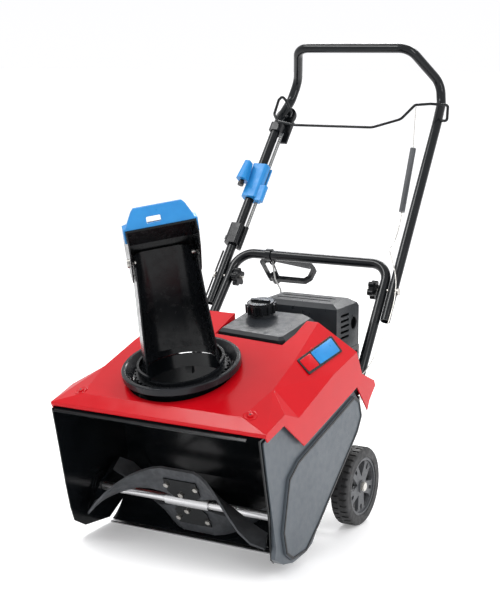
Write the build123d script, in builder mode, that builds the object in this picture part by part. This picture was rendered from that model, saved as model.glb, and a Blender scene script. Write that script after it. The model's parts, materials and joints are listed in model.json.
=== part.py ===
from build123d import *
from math import atan2, cos, degrees, hypot, radians, sin, sqrt, tan
import os

os.makedirs("parts", exist_ok=True)

# Single stage snowblower. +Z up, -Y forward, +X to the operator's left.
# Side profiles are given as (distance behind the front lip, height above the ground).

# ---- overall -------------------------------------------------------------------
LIP_Y = -497.37         # Y of the front lip
HALF_W = 267.0          # half width over the shroud
MID_X = -21.0           # middle of the auger opening, also the chute's centre line
CLEAR = 0.05            # radial running clearance of shafts and pins

# ---- auger housing -------------------------------------------------------------
LEFT_IN = -263.0        # inner faces of the two side plates
RIGHT_IN = 221.0
PLATE_T = 3.0
WALL_T = 4.0
ROTOR_Y = 168.0         # rotor axis, behind the lip and above the ground
ROTOR_Z = 102.0
ROTOR_R = 99.5
SCOOP_R = 108.0         # inner radius of the scoop behind the rotor

# ---- rotor ---------------------------------------------------------------------
SHAFT_R = 10.0
SLEEVE_R = 14.0
SLEEVE_HALF = 56.0
PADDLE_HALF = 229.0
PADDLE_T = 7.0
PADDLE_FLAT = 42.0      # half length of the paddle's straight middle
PADDLE_LEAD = 60.0      # angle of the middle above the forward direction
PADDLE_CURL = 0.049     # how fast it turns towards its ends, in degrees per mm**1.45
HUB_PLATE_HALF = 42.0

# ---- chute ---------------------------------------------------------------------
CHUTE_Y = 141.0
CHUTE_Z = 426.0
CHUTE_TILT = 15.0
CHUTE_TURN = 40.0       # stored direction of the chute, about its own axis
RING_R = 131.0
THROAT_R = 96.0
PIVOT_H = 248.0         # deflector pivot above the ring's rim

# ---- wheels --------------------------------------------------------------------
AXLE_Y = 481.0
AXLE_Z = 92.0
AXLE_R = 7.0
TYRE_R = 92.0
RIM_R = 68.0
WHEEL_OUT = 262.0
WHEEL_W = 43.0

# ---- engine and drive ----------------------------------------------------------
CRANK_Y = 415.0
CRANK_Z = 285.0
CRANK_R = 12.0
BIG_SHEAVE_R = 55.0
SMALL_SHEAVE_R = 28.0
BELT_T = 7.0
BELT_W = 9.6
BELT_X = 238.0
IDLER_PIVOT = (288.0, 300.0)

# ---- handle --------------------------------------------------------------------
TUBE_R = 12.0
TUBE_IN = 10.4
LOW_END = (228.0, 489.0, 290.0)
LOW_TOP = (211.0, 725.0, 576.0)
UP_END = (242.7, 630.7, 455.0)
UP_TOP = (226.0, 969.9, 904.0)
UP_KNEE = (217.4, 1020.0, 954.0)
UP_BEND = (206.4, 1038.0, 1004.0)
UP_BAR = (157.8, 945.0, 1094.0)
JOINT_Y = 678.8
JOINT_Z = 520.0
JOINT_BOLT_R = 4.0


def side_plane(x):
    return Plane(origin=(x, LIP_Y, 0), x_dir=(0, 1, 0), z_dir=(1, 0, 0))


def at(x, back, up):
    return Vector(x, LIP_Y + back, up)


def mirrored(point):
    return (-point[0], point[1], point[2])


def tube_along(points, radius, bend, inner=0):
    """A round bar or tube whose centre line runs through the points with rounded corners."""
    path = FilletPolyline(*[at(*p) for p in points], radius=bend)
    start = Plane(origin=path @ 0, z_dir=path % 0)
    with BuildPart() as bar:
        with BuildSketch(start):
            Circle(radius)
            if inner:
                Circle(inner, mode=Mode.SUBTRACT)
        sweep(path=path)
    return bar.part


chute_plane = Plane(
    origin=at(MID_X, CHUTE_Y, CHUTE_Z),
    x_dir=(1, 0, 0),
    z_dir=(0, -sin(radians(CHUTE_TILT)), cos(radians(CHUTE_TILT))),
)
turned_x = chute_plane.x_dir * cos(radians(CHUTE_TURN)) + chute_plane.y_dir * sin(radians(CHUTE_TURN))
turned_plane = Plane(origin=chute_plane.origin, x_dir=turned_x, z_dir=chute_plane.z_dir)

# ---- the shroud's outline ----------------------------------------------------------
SHROUD_T = 3.0
SKIRT = [
    (0, 331), (0, 345), (24, 380), (360, 520), (388, 490), (452, 368), (520, 338), (527, 325), (496, 297),
    (485, 275), (427, 342), (169, 271), (78, 337), (8, 319),
]
# Corners of the shroud's outer surface on the right-hand side; the left side mirrors them.
CROWN_SLOPE = 0.36
LIP_END = (267, 0, 337)
BROW = (198, 24, 359)
SHOULDER = (267, 79, 360)
RIDGE_A = (215, 128, 359 + CROWN_SLOPE * 104)
RIDGE_B = (208, 235, 359 + CROWN_SLOPE * 211)
RIDGE_C = (162.5, 560, 359 + CROWN_SLOPE * 536)
FLANK_A = (267, 142, 338)
FLANK_B = (267, 307, 397)
FLANK_C = (267, 560, 455)
FOOT_A = (267, 0, 180)
FOOT_B = (267, 560, 180)


def shroud_volume(inset):
    """The space under the shroud's outer surface, or under its inner surface when inset is its thickness."""

    def corner(point, sign):
        x, y, z = point
        return at(sign * (x - inset), y + 0.7 * inset, z - 1.1 * inset)

    def faces_of(sign):
        loops = [
            (LIP_END, SHOULDER, RIDGE_A), (LIP_END, RIDGE_A, BROW), (SHOULDER, FLANK_A, RIDGE_A),
            (RIDGE_A, FLANK_A, FLANK_B), (RIDGE_A, FLANK_B, RIDGE_B), (RIDGE_B, FLANK_B, RIDGE_C),
            (FLANK_B, FLANK_C, RIDGE_C), (LIP_END, SHOULDER, FLANK_A, FLANK_B, FLANK_C, FOOT_B, FOOT_A),
        ]
        return [Face(Wire.make_polygon([corner(p, sign) for p in loop])) for loop in loops]

    def across(loop):
        points = [corner(p, 1) for p in loop] + [corner(p, -1) for p in reversed(loop)]
        return Face(Wire.make_polygon(points))

    shared = [
        across(loop)
        for loop in ((LIP_END, BROW), (BROW, RIDGE_A, RIDGE_B, RIDGE_C), (RIDGE_C, FLANK_C, FOOT_B),
                     (FOOT_B, FOOT_A), (FOOT_A, LIP_END))
    ]
    return Solid(Shell(faces_of(1) + faces_of(-1) + shared))


# ---- auger housing ---------------------------------------------------------------
FLOOR_OUT = sqrt((SCOOP_R + WALL_T) ** 2 - (ROTOR_Z - 5) ** 2)
FLOOR_IN = sqrt(SCOOP_R**2 - (ROTOR_Z - 5) ** 2)
CABLE_X = -70.0         # where the chute cable ends, in a block behind the throat

# What would stick out of the shroud's left flank is cut off the housing.
with BuildPart() as spill:
    with BuildSketch(Plane.XY.offset(318)):
        with Locations((-230, LIP_Y + 140)):
            Rectangle(80, 300)
    extrude(amount=200)
    add(shroud_volume(SHROUD_T + 0.4), mode=Mode.SUBTRACT)
LEFT_SPILL = spill.part

with BuildPart() as auger_housing:
    with BuildSketch(side_plane(LEFT_IN)):
        with BuildLine():
            roof = Polyline((2, 314), (25, 337), (252, 408), (284, 128), (ROTOR_Y + SCOOP_R, ROTOR_Z))
            scoop = ThreePointArc(
                roof @ 1,
                (ROTOR_Y + SCOOP_R * cos(radians(30)), ROTOR_Z - SCOOP_R * sin(radians(30))),
                (ROTOR_Y + FLOOR_IN, 5),
            )
            foot = Line(scoop @ 1, (ROTOR_Y + FLOOR_OUT, 5))
            back = ThreePointArc(
                foot @ 1,
                (
                    ROTOR_Y + (SCOOP_R + WALL_T) * cos(radians(30)),
                    ROTOR_Z - (SCOOP_R + WALL_T) * sin(radians(30)),
                ),
                (ROTOR_Y + SCOOP_R + WALL_T, ROTOR_Z),
            )
            Polyline(back @ 1, (288.2, 127), (255.5, 413.3), (23, 340.5), (-1, 316.5), roof @ 0)
        make_face()
    extrude(amount=RIGHT_IN - LEFT_IN)
    with BuildSketch(chute_plane):
        Circle(THROAT_R + 3)
    extrude(amount=-60)
    with BuildSketch(chute_plane):
        Circle(THROAT_R)
    extrude(amount=-75, mode=Mode.SUBTRACT)
    with BuildSketch(chute_plane.offset(-27.5)):
        Circle(THROAT_R + 6)
    extrude(amount=40, mode=Mode.SUBTRACT)
    with BuildSketch(side_plane(CABLE_X - 9)):
        Polygon((250, 372), (276, 372), (276, 398), (250, 398), align=None)
    extrude(amount=18)
    add(LEFT_SPILL, mode=Mode.SUBTRACT)
auger_housing.part.label = "auger_housing"
export_step(auger_housing.part, "parts/auger_housing.step")

PLATE_OUTLINE = [
    (0, 322), (21, 232), (43, 135), (58, 78), (72, 44), (110, 22), (205, 12),
    (256, 40), (312, 108), (312, 236), (290, 330), (150, 330), (60, 334),
]
FLARE = [(-20, 252.5), (45, 252.5), (115, RIGHT_IN + PLATE_T), (330, RIGHT_IN + PLATE_T)]


with BuildPart() as left_side_plate:
    with BuildSketch(side_plane(LEFT_IN - PLATE_T)):
        with BuildLine():
            Polyline(*PLATE_OUTLINE, close=True)
        make_face()
        with Locations((ROTOR_Y, ROTOR_Z)):
            Circle(24, mode=Mode.SUBTRACT)
        with BuildLine():
            Polyline(*SKIRT, close=True)
        add(offset(make_face(mode=Mode.PRIVATE), amount=0.4, mode=Mode.PRIVATE), mode=Mode.SUBTRACT)
    extrude(amount=PLATE_T)
left_side_plate.part.label = "left_side_plate"
export_step(left_side_plate.part, "parts/left_side_plate.step")

# The right plate flares outward at the front, ahead of the drive case.
with BuildPart() as right_side_plate:
    with BuildSketch(side_plane(200)):
        with BuildLine():
            Polyline(*PLATE_OUTLINE, close=True)
        make_face()
    extrude(amount=60)
    with BuildSketch(Plane.XY):
        with BuildLine():
            Polyline(*[(x, LIP_Y + y) for y, x in FLARE], *[(x - PLATE_T, LIP_Y + y) for y, x in FLARE[::-1]],
                     close=True)
        make_face()
    extrude(amount=400, mode=Mode.INTERSECT)
    with BuildSketch(side_plane(200)):
        with Locations((ROTOR_Y, ROTOR_Z)):
            Circle(24)
    extrude(amount=60, mode=Mode.SUBTRACT)
    with BuildSketch(side_plane(RIGHT_IN + PLATE_T)):
        with Locations(IDLER_PIVOT):
            Circle(4)
    extrude(amount=10)
right_side_plate.part.label = "right_side_plate"
export_step(right_side_plate.part, "parts/right_side_plate.step")

with BuildPart() as scraper:
    with BuildSketch(side_plane(LEFT_IN + 3)):
        with BuildLine():
            Polyline((203, 0), (246, 0), (262, 30), (258.5, 32.5), (242, 4), (206, 4), (203, 2.5), close=True)
        make_face()
    extrude(amount=RIGHT_IN - LEFT_IN - 6)
scraper.part.label = "scraper"
export_step(scraper.part, "parts/scraper.step")

# ---- rotor -----------------------------------------------------------------------


def bearing(x, sign):
    """Flanged plain bearing in a side plate whose outer face is at x; sign points into the housing."""
    with BuildPart() as unit:
        for start, depth, radius in ((0, 8, 24), (PLATE_T, 3, 31)):
            with BuildSketch(side_plane(x + sign * start)):
                with Locations((ROTOR_Y, ROTOR_Z)):
                    Circle(radius)
                    Circle(SHAFT_R + CLEAR, mode=Mode.SUBTRACT)
            extrude(amount=sign * depth)
    return unit.part


rotor_bearings = Compound(
    label="rotor_bearings", children=[bearing(LEFT_IN - PLATE_T, 1), bearing(RIGHT_IN + PLATE_T, -1)]
)
export_step(rotor_bearings, "parts/rotor_bearings.step")

with BuildPart() as rotor_shaft:
    with BuildSketch(side_plane(-266)):
        with Locations((ROTOR_Y, ROTOR_Z)):
            Circle(SHAFT_R)
    extrude(amount=266 + 247)
    with BuildSketch(side_plane(MID_X - SLEEVE_HALF)):
        with Locations((ROTOR_Y, ROTOR_Z)):
            Circle(SLEEVE_R)
    extrude(amount=2 * SLEEVE_HALF)
rotor_shaft.part.label = "rotor_shaft"
export_step(rotor_shaft.part, "parts/rotor_shaft.step")


def paddle_angle(s):
    """Angle of the paddle at distance s from the middle: straight first, then it curls forward."""
    curl = max(abs(s) - PADDLE_FLAT, 0)
    return PADDLE_LEAD - PADDLE_CURL * curl**1.45


def rotor_plane(s, angle):
    """Plane across the shaft at s from the middle, with local x pointing outward at the angle."""
    out = (0, -cos(radians(angle)), sin(radians(angle)))
    return Plane(origin=at(MID_X + s, ROTOR_Y, ROTOR_Z), x_dir=out, z_dir=(1, 0, 0))


def paddle_root(s):
    return 15.0 if abs(s) <= PADDLE_FLAT else 15.0 + 31.0 * min((abs(s) - PADDLE_FLAT) / 70.0, 1.0)


def paddle_rim(s):
    """Outer radius of the paddle, whose ends are rounded off."""
    return ROTOR_R - 0.05 * max(abs(s) - 190, 0) ** 1.6


def paddle(half_turn):
    """One moulded rubber paddle, symmetric about the middle of the shaft."""
    stations = [0, 42, 62, 84, 108, 134, 160, 184, 207, PADDLE_HALF]
    with BuildPart() as half:
        for s in stations:
            with BuildSketch(rotor_plane(s, paddle_angle(s) + half_turn)):
                root = paddle_root(s)
                rim = paddle_rim(s)
                with Locations(((root + rim) / 2, 0)):
                    Rectangle(rim - root, PADDLE_T)
        loft(ruled=True)
        mirror(about=Plane.YZ.offset(MID_X))
    return half.part


rotor_paddles = Compound(label="rotor_paddles", children=[paddle(0), paddle(180)])
export_step(rotor_paddles, "parts/rotor_paddles.step")

hub_bolt_spots = [(-38, 52), (38, 52), (-8, 26)]


def hub_plate(turn, side):
    """A steel plate on one face of a paddle's middle, welded to the shaft's sleeve."""
    gap = PADDLE_T / 2 + 0.6
    base = rotor_plane(0, PADDLE_LEAD + turn)
    face = Plane(origin=base.origin + base.y_dir * gap * side, x_dir=(1, 0, 0), z_dir=base.y_dir * side)
    outward = 1 if (face.y_dir - base.x_dir).length < 0.1 else -1
    with BuildPart() as plate:
        with BuildSketch(face):
            with BuildLine():
                Polyline(
                    (-30, 14.8 * outward), (30, 14.8 * outward), (HUB_PLATE_HALF, 28 * outward),
                    (HUB_PLATE_HALF, 70 * outward), (-HUB_PLATE_HALF, 70 * outward),
                    (-HUB_PLATE_HALF, 28 * outward), close=True,
                )
            make_face()
        extrude(amount=2.5)
    return plate.part


def hub_bolt(turn, side, s, r):
    face = PADDLE_T / 2 + 3.1
    base = rotor_plane(s, PADDLE_LEAD + turn)
    top = base.origin + base.x_dir * r + base.y_dir * face * side
    with BuildPart() as bolt:
        with BuildSketch(Plane(origin=top, z_dir=base.y_dir * side)):
            RegularPolygon(6.5, 6)
        extrude(amount=4.5)
    return bolt.part


rotor_bolts = Compound(
    label="rotor_bolts",
    children=[
        hub_bolt(turn, side, s, r) for turn in (0, 180) for side in (1, -1) for s, r in hub_bolt_spots
    ],
)
export_step(rotor_bolts, "parts/rotor_bolts.step")


def end_arm(s):
    """The arm that holds both paddles at one end of the rotor."""
    end_angle = paddle_angle(PADDLE_HALF)
    with BuildPart() as arm:
        with BuildSketch(rotor_plane(s, end_angle)):
            SlotOverall(2 * (ROTOR_R - 26), 30)
            Circle(20)
            Circle(SHAFT_R, mode=Mode.SUBTRACT)
        extrude(amount=3)
    return arm.part


rotor_plates = Compound(
    label="rotor_plates",
    children=[hub_plate(turn, side) for turn in (0, 180) for side in (1, -1)]
    + [end_arm(PADDLE_HALF + 0.5), end_arm(-PADDLE_HALF - 3.5)],
)
export_step(rotor_plates, "parts/rotor_plates.step")

# ---- right side: drive case, belt and its cover -------------------------------------
CASE_OUTLINE = [
    (10, 316), (28, 236), (48, 150), (65, 79), (61, 52), (98, 30), (141, 20), (197, 24), (230, 34),
    (254, 60), (319, 118), (449, 228), (478, 258), (462, 300), (428, 334), (180, 300), (150, 326), (75, 330),
]
COVER_OUTLINE = [(150, 243), (108, 214), (84, 103), (98, 52), (129, 30), (192, 29), (250, 70), (444, 232),
                 (466, 266), (452, 306), (424, 322)]

with BuildPart() as drive_case:
    with BuildSketch(side_plane(RIGHT_IN + PLATE_T + 4)) as case_face:
        with BuildLine():
            Polyline(*CASE_OUTLINE, close=True)
        make_face()
        fillet(case_face.vertices(), 4)
    extrude(amount=28)
    with BuildSketch(side_plane(RIGHT_IN + PLATE_T + 4)):
        add(offset(case_face.sketch_local, amount=-3, mode=Mode.PRIVATE))
    extrude(amount=25, mode=Mode.SUBTRACT)
    with BuildSketch(Plane.XY):
        with BuildLine():
            Polyline((200, LIP_Y - 40), (253, LIP_Y - 40), (253, LIP_Y + 45), (224.5, LIP_Y + 116),
                     (200, LIP_Y + 116), close=True)
        make_face()
    extrude(amount=400, mode=Mode.SUBTRACT)
drive_case.part.label = "drive_case"
export_step(drive_case.part, "parts/drive_case.step")

with BuildPart() as belt_cover:
    with BuildSketch(side_plane(256.5)) as cover_face:
        with BuildLine():
            Polyline(*COVER_OUTLINE, close=True)
        make_face()
        fillet(cover_face.vertices(), 11)
    extrude(amount=5)
    with BuildSketch(side_plane(261.5)):
        add(offset(cover_face.sketch_local, amount=-2, mode=Mode.PRIVATE))
        add(offset(cover_face.sketch_local, amount=-7, mode=Mode.PRIVATE), mode=Mode.SUBTRACT)
    extrude(amount=1.8)
belt_cover.part.label = "belt_cover"
export_step(belt_cover.part, "parts/belt_cover.step")

# ---- shroud ------------------------------------------------------------------------
TANK_CUT = [(-34, 300), (150, 286), (158, 330), (158, 520), (-34, 520)]

with BuildPart() as shroud:
    add(shroud_volume(0))
    with BuildSketch(side_plane(-HALF_W)):
        with BuildLine():
            Polyline(*SKIRT, close=True)
        make_face()
    extrude(amount=2 * HALF_W, mode=Mode.INTERSECT)
    add(shroud_volume(SHROUD_T), mode=Mode.SUBTRACT)
    with BuildSketch(chute_plane):
        Circle(RING_R - 9)
    extrude(amount=-60, mode=Mode.SUBTRACT)
    with BuildSketch(chute_plane.offset(-15.2)):
        Circle(RING_R + 1)
    extrude(amount=30, mode=Mode.SUBTRACT)
    with BuildSketch(Plane.XY.offset(400)):
        with BuildLine():
            Polyline(*[(x, LIP_Y + y) for x, y in TANK_CUT], close=True)
        make_face()
    extrude(amount=120, mode=Mode.SUBTRACT)
shroud.part.label = "shroud"
export_step(shroud.part, "parts/shroud.step")

# ---- chute -------------------------------------------------------------------------
with BuildPart() as chute_ring:
    with BuildSketch(Plane(origin=chute_plane.origin, x_dir=chute_plane.x_dir, z_dir=-chute_plane.y_dir)):
        with BuildLine():
            Polyline(
                (RING_R, -15), (RING_R, -2), (RING_R - 2, 0), (RING_R - 8, 0), (RING_R - 10, -2),
                (108, -22), (THROAT_R + 8, -23), (THROAT_R + 8, -27), (111, -27), (120, -15), close=True,
            )
        make_face()
    revolve(axis=Axis(chute_plane.origin, chute_plane.z_dir))
chute_ring.part.label = "chute_ring"
export_step(chute_ring.part, "parts/chute_ring.step")

TEETH = 40
with BuildPart() as chute_base:
    with BuildSketch(turned_plane.offset(-22)):
        Circle(THROAT_R + 4)
        with PolarLocations(THROAT_R + 5.5, TEETH):
            Rectangle(5, 8)
        Circle(THROAT_R - 5, mode=Mode.SUBTRACT)
    extrude(amount=9)
    with BuildSketch(turned_plane.offset(-13)):
        Circle(THROAT_R)
        Circle(THROAT_R - 5, mode=Mode.SUBTRACT)
    extrude(amount=9)
chute_base.part.label = "chute_base"
export_step(chute_base.part, "parts/chute_base.step")



def u_loft(stations, wall, reach):
    """A channel with a rounded back through (height, half width, front, rear, corner) stations.

    wall shrinks it to the channel's inside and reach carries that inside out through the open front."""
    with BuildPart() as body:
        for height, half, front, rear, corner in stations:
            w, lo, hi, r = half - wall, front - reach, rear - wall, corner - wall
            with BuildSketch(turned_plane.offset(height)):
                with BuildLine():
                    left = Line((-w, lo), (-w, hi - r))
                    turn_a = RadiusArc(left @ 1, (-w + r, hi), r)
                    top = Line(turn_a @ 1, (w - r, hi))
                    turn_b = RadiusArc(top @ 1, (w, hi - r), r)
                    Line(turn_b @ 1, (w, lo))
                    Line((w, lo), (-w, lo))
                make_face()
        loft()
    return body.part


CHUTE_STATIONS = [
    (-4, 79, -40, 83, 50), (60, 77, -46, 79, 48), (150, 72, -54, 69, 42), (262, 67, -62, 55, 34),
]
PIVOT_FWD = -6.0
side_of_chute = Plane(origin=turned_plane.origin, x_dir=turned_plane.y_dir, z_dir=turned_plane.x_dir)

with BuildPart() as chute:
    add(u_loft(CHUTE_STATIONS, 0, 0))
    add(u_loft([(h, *rest) for h, *rest in CHUTE_STATIONS], 3, 6), mode=Mode.SUBTRACT)
    with BuildSketch(side_of_chute):
        with BuildLine():
            Polyline((12, 246), (12, 300), (80, 300), (80, 246), close=True)
        make_face()
        with Locations((PIVOT_FWD, PIVOT_H)):
            Circle(4 + CLEAR)
        with BuildLine():
            Polyline((-90, 258), (-44, 258), (-30, 300), (-90, 300), close=True)
        make_face()
    extrude(amount=120, both=True, mode=Mode.SUBTRACT)
    with BuildSketch(turned_plane.offset(-4)):
        Circle(THROAT_R)
        Circle(THROAT_R - 5, mode=Mode.SUBTRACT)
        with Locations((0, -24)):
            Rectangle(152, 210, mode=Mode.SUBTRACT)
    extrude(amount=10)
chute.part.label = "chute"
export_step(chute.part, "parts/chute.step")

HOOD_HALF = 73.5
with BuildPart() as deflector:
    with BuildSketch(side_of_chute.offset(-HOOD_HALF)):
        with BuildLine():
            Polyline(
                (66, 222), (64, 262), (46, 308), (-24, 337), (-58, 337), (-84, 318), (-74, 284), (-34, 222),
                (-22, 210), (8, 210), (20, 222), close=True,
            )
        make_face()
    extrude(amount=2 * HOOD_HALF)
    with BuildSketch(side_of_chute.offset(-HOOD_HALF + 3)):
        with BuildLine():
            Polyline((63, 190), (61, 261), (43.5, 306), (-24.5, 334), (-140, 334), (-140, 190), close=True)
        make_face()
    extrude(amount=2 * HOOD_HALF - 6, mode=Mode.SUBTRACT)
    with BuildSketch(side_of_chute):
        with Locations((PIVOT_FWD, PIVOT_H)):
            Circle(4)
    extrude(amount=120, both=True, mode=Mode.SUBTRACT)
deflector.part.label = "deflector"
export_step(deflector.part, "parts/deflector.step")


def deflector_bolt(sign):
    outer = side_of_chute.offset(sign * HOOD_HALF)
    spot = outer.from_local_coords((PIVOT_FWD, PIVOT_H, 0))
    out = Plane(origin=spot, z_dir=side_of_chute.z_dir * sign)
    with BuildPart() as bolt:
        with BuildSketch(out):
            Circle(9)
        extrude(amount=5)
        with BuildSketch(out):
            Circle(4)
        extrude(amount=-14)
    return bolt.part


deflector_pivots = Compound(label="deflector_pivots", children=[deflector_bolt(1), deflector_bolt(-1)])
export_step(deflector_pivots, "parts/deflector_pivots.step")

grip_plane = Plane(origin=turned_plane.origin, x_dir=turned_plane.x_dir, z_dir=-turned_plane.y_dir)
with BuildPart() as deflector_grip:
    with BuildSketch(grip_plane.offset(50)):
        with BuildLine():
            Polyline((-73, 337), (73, 337), (67, 352), (56, 374), (50, 381), (-50, 381), (-56, 374), (-67, 352),
                     close=True)
        make_face()
        with Locations((-12, 352)):
            RectangleRounded(30, 15, 3, mode=Mode.SUBTRACT)
    extrude(amount=7)
    for sign in (1, -1):
        with BuildSketch(grip_plane.offset(28)):
            with BuildLine():
                Polyline((sign * (HOOD_HALF + 3.5), 310), (sign * HOOD_HALF, 310), (sign * HOOD_HALF, 337),
                         (sign * 65, 337), (sign * 65, 343), (sign * (HOOD_HALF + 3.5), 340), close=True)
            make_face()
        extrude(amount=29)
deflector_grip.part.label = "deflector_grip"
export_step(deflector_grip.part, "parts/deflector_grip.step")

# ---- fuel tank, its cover and cap -----------------------------------------------------
TANK_TILT = 8.8
tank_plane = Plane(origin=at(0, 310, 469), x_dir=(1, 0, 0),
                   z_dir=(0, -sin(radians(TANK_TILT)), cos(radians(TANK_TILT))))
COVER_PLAN = [(-27, 0), (136, -18), (148, -8), (152, 128), (116, 150), (-27, 150)]
CAP_SPOT = (24, 112)

with BuildPart() as tank_cover:
    with BuildSketch(tank_plane.offset(-20)):
        with BuildLine():
            Polyline(*COVER_PLAN, close=True)
        make_face()
    extrude(amount=20)
    chamfer(tank_cover.faces().sort_by(Axis(tank_plane.origin, tank_plane.z_dir))[-1].edges(), length=7)
    with BuildSketch(tank_plane):
        with Locations(CAP_SPOT):
            Circle(29)
    extrude(amount=5)
    with BuildSketch(tank_plane.offset(10)):
        with Locations(CAP_SPOT):
            Circle(24)
    extrude(amount=-40, mode=Mode.SUBTRACT)
tank_cover.part.label = "tank_cover"
export_step(tank_cover.part, "parts/tank_cover.step")

with BuildPart() as fuel_tank:
    for inset, mode in ((0, Mode.ADD), (3, Mode.SUBTRACT)):
        with BuildSketch(tank_plane.offset(-21 - inset)):
            with Locations((60, 72)):
                RectangleRounded(160 - 2 * inset, 132 - 2 * inset, 14 - inset)
        extrude(amount=-58 + 2 * inset, mode=mode)
    with BuildSketch(tank_plane.offset(-24)):
        with Locations(CAP_SPOT):
            Circle(22)
    extrude(amount=38)
    with BuildSketch(tank_plane.offset(-26)):
        with Locations(CAP_SPOT):
            Circle(18.5)
    extrude(amount=45, mode=Mode.SUBTRACT)
fuel_tank.part.label = "fuel_tank"
export_step(fuel_tank.part, "parts/fuel_tank.step")

CAP_R = 35.0
with BuildPart() as fuel_cap:
    with BuildSketch(tank_plane.offset(8)):
        with Locations(CAP_SPOT):
            Circle(CAP_R - 3)
            with PolarLocations(CAP_R - 4, 12):
                SlotOverall(12, 8, rotation=0)
            Circle(CAP_R - 6, mode=Mode.SUBTRACT)
    extrude(amount=20)
    with BuildSketch(tank_plane.offset(26)):
        with Locations(CAP_SPOT):
            Circle(CAP_R - 4)
    extrude(amount=7)
    with BuildSketch(tank_plane.offset(22)):
        with Locations(CAP_SPOT):
            Circle(18)
            Circle(12, mode=Mode.SUBTRACT)
    extrude(amount=-14)
    with BuildSketch(tank_plane.offset(33)):
        with Locations(CAP_SPOT):
            SlotOverall(50, 10)
    extrude(amount=5)
    with BuildSketch(tank_plane.offset(22)):
        with Locations(CAP_SPOT):
            Circle(18)
    extrude(amount=6)
fuel_cap.part.label = "fuel_cap"
export_step(fuel_cap.part, "parts/fuel_cap.step")

# ---- engine ----------------------------------------------------------------------------
COVER_X = (-24.0, 190.0)
COVER_BACK = (476.0, 596.0)
COVER_UP = (402.0, 513.0)
CHOKE_Z = 458.0
back_plane = Plane(origin=at(148, COVER_BACK[1], 0), x_dir=(-1, 0, 0), z_dir=(0, 1, 0))


def engine_box(inset, bottom):
    x0, x1 = COVER_X
    y0, y1 = COVER_BACK
    z1 = COVER_UP[1] - inset
    with BuildPart() as box:
        with BuildSketch(side_plane(x0 + inset)):
            with BuildLine():
                Polyline((y0 + inset, bottom), (y0 + inset, z1 - 10), (y0 + 14, z1), (y1 - 22, z1 + 2),
                         (y1 - inset, z1 - 18), (y1 - inset, bottom), close=True)
            make_face()
        extrude(amount=x1 - x0 - 2 * inset)
        for x, direction in ((x1 - 20, 1), (x0 + 26, -1)):
            edge = Plane(origin=at(x, 0, z1 + 2), z_dir=(direction * 0.55, 0, 1))
            split(bisect_by=edge, keep=Keep.BOTTOM)
    return box.part


with BuildPart() as engine_cover:
    add(engine_box(0, COVER_UP[0]))
    add(engine_box(3, COVER_UP[0] - 10), mode=Mode.SUBTRACT)
    with BuildSketch(side_plane(COVER_X[1] - 8)):
        with Locations(*[(520, 432 + 13 * i) for i in range(5)]):
            SlotOverall(44, 6)
        with Locations((568, 458)):
            Circle(15)
    extrude(amount=20, mode=Mode.SUBTRACT)
    with BuildSketch(Plane.XY.offset(COVER_UP[1] - 1)):
        with Locations((83, LIP_Y + 520), (83, LIP_Y + 546)):
            SlotOverall(140, 8)
    extrude(amount=10, mode=Mode.SUBTRACT)
    with BuildSketch(Plane.XZ.offset(-LIP_Y - COVER_BACK[1] + 8)):
        with Locations(*[(10 + 26 * i, 450) for i in range(4)]):
            SlotOverall(70, 8, rotation=90)
    extrude(amount=-20, mode=Mode.SUBTRACT)
    with BuildSketch(Plane.XY.offset(490)):
        with Locations((-8, LIP_Y + 574)):
            Circle(6)
    extrude(amount=40, mode=Mode.SUBTRACT)
    with BuildSketch(back_plane):
        with Locations((0, CHOKE_Z)):
            Circle(4 + CLEAR)
    extrude(amount=-20, mode=Mode.SUBTRACT)
engine_cover.part.label = "engine_cover"
export_step(engine_cover.part, "parts/engine_cover.step")

GUARD_X = (-10.0, 190.0)
GUARD_BACK = (470.0, 600.0)
GUARD_UP = (342.0, 401.0)
with BuildPart() as muffler_guard:
    with BuildSketch(Plane.XY.offset(GUARD_UP[0])):
        with BuildLine():
            Polyline(*[(x, LIP_Y + y) for x, y in (
                (GUARD_X[0], GUARD_BACK[1]), (GUARD_X[1], GUARD_BACK[1]), (GUARD_X[1], GUARD_BACK[0]),
                (GUARD_X[1] - 3, GUARD_BACK[0]), (GUARD_X[1] - 3, GUARD_BACK[1] - 3),
                (GUARD_X[0], GUARD_BACK[1] - 3))], close=True)
        make_face()
    extrude(amount=GUARD_UP[1] - GUARD_UP[0])
    with BuildSketch(side_plane(GUARD_X[1] - 6)):
        with Locations(*[(486 + 24 * i, 384 - 22 * j) for i in range(5) for j in range(2)]):
            SlotOverall(17, 12)
    extrude(amount=12, mode=Mode.SUBTRACT)
    with BuildSketch(Plane.XZ.offset(-LIP_Y - GUARD_BACK[1] - 6)):
        with Locations(*[(14 + 25 * i, 384 - 22 * j) for i in range(7) for j in range(2)]):
            SlotOverall(18, 12)
    extrude(amount=12, mode=Mode.SUBTRACT)
muffler_guard.part.label = "muffler_guard"
export_step(muffler_guard.part, "parts/muffler_guard.step")

MUFFLER_WALL = 2.0
with BuildPart() as muffler:
    for wall, mode in ((0, Mode.ADD), (MUFFLER_WALL, Mode.SUBTRACT)):
        with BuildSketch(side_plane(20 + wall)):
            with Locations((545, 366)):
                RectangleRounded(76 - 2 * wall, 60 - 2 * wall, 22 - wall)
        extrude(amount=130 - 2 * wall, mode=mode)
    with BuildSketch(side_plane(60)):
        with Locations((490.5, 366)):
            Rectangle(39, 24)
    extrude(amount=30)
muffler.part.label = "muffler"
export_step(muffler.part, "parts/muffler.step")

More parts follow.
